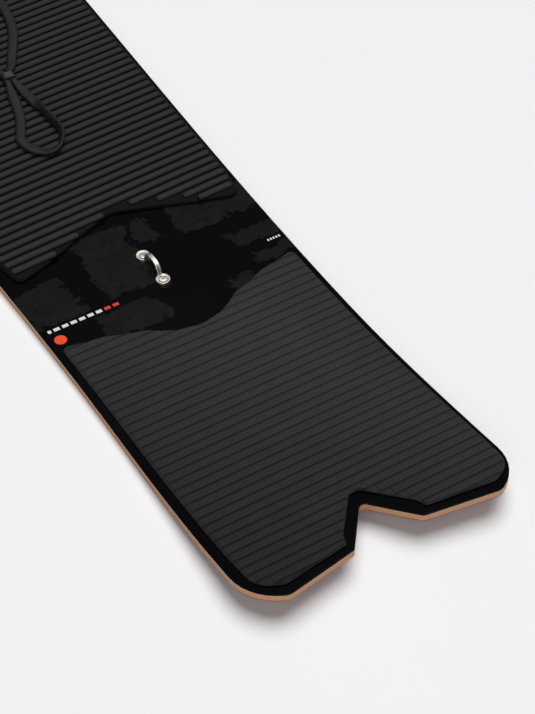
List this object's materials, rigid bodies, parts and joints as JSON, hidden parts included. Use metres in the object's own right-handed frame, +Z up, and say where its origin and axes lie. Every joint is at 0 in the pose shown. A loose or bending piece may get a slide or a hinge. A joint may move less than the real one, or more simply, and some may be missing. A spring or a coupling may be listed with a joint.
{
  "type": "bindingless powder board",
  "caption": "Swallow-tail powder board ridden without bindings: laminated wood deck, two foam traction pads, metal rope anchors and a rope with a handle loop.",
  "frame": {"origin": "on the ground under the middle of the board: the centre of the bounding box's bottom face", "axes": "+X points to the nose, +Y to the rider's left when looking at the nose, +Z up out of the deck"},
  "size_m": [1.56, 0.3412, 0.0678],
  "materials": {
    "running_base": "waxed polyethylene",
    "glass_laminate": "resin and glass fibre",
    "wood_core": "sanded and oiled edge",
    "gloss_topsheet": "gloss black with dark tree shapes",
    "pad_foam": "matte closed-cell foam with fine grooves",
    "ribbed_foam": "matte closed-cell foam with round ribs",
    "adhesive_film": "clear adhesive",
    "nickel": "satin nickel",
    "screw_steel": "stainless",
    "insert_steel": "turned stainless",
    "braided_rope": "flat braided cord"
  },
  "bodies": {
    "root": {"running_base": "running_base", "lower_laminate": "glass_laminate", "wood_core": "wood_core", "upper_laminate": "glass_laminate", "topsheet": "gloss_topsheet", "tail_pad_film": "adhesive_film", "tail_pad": "pad_foam", "front_pad_film": "adhesive_film", "front_pad": "ribbed_foam", "rear_anchor": "nickel", "rear_screw_1": "screw_steel", "rear_screw_2": "screw_steel", "rear_insert_1": "insert_steel", "rear_insert_2": "insert_steel", "front_anchor": "nickel", "front_screw_1": "screw_steel", "front_screw_2": "screw_steel", "front_insert_1": "insert_steel", "front_insert_2": "insert_steel", "rope_runs": "braided_rope", "rope_handle": "braided_rope", "rope_keeper": "braided_rope"}
  },
  "joints": []
}
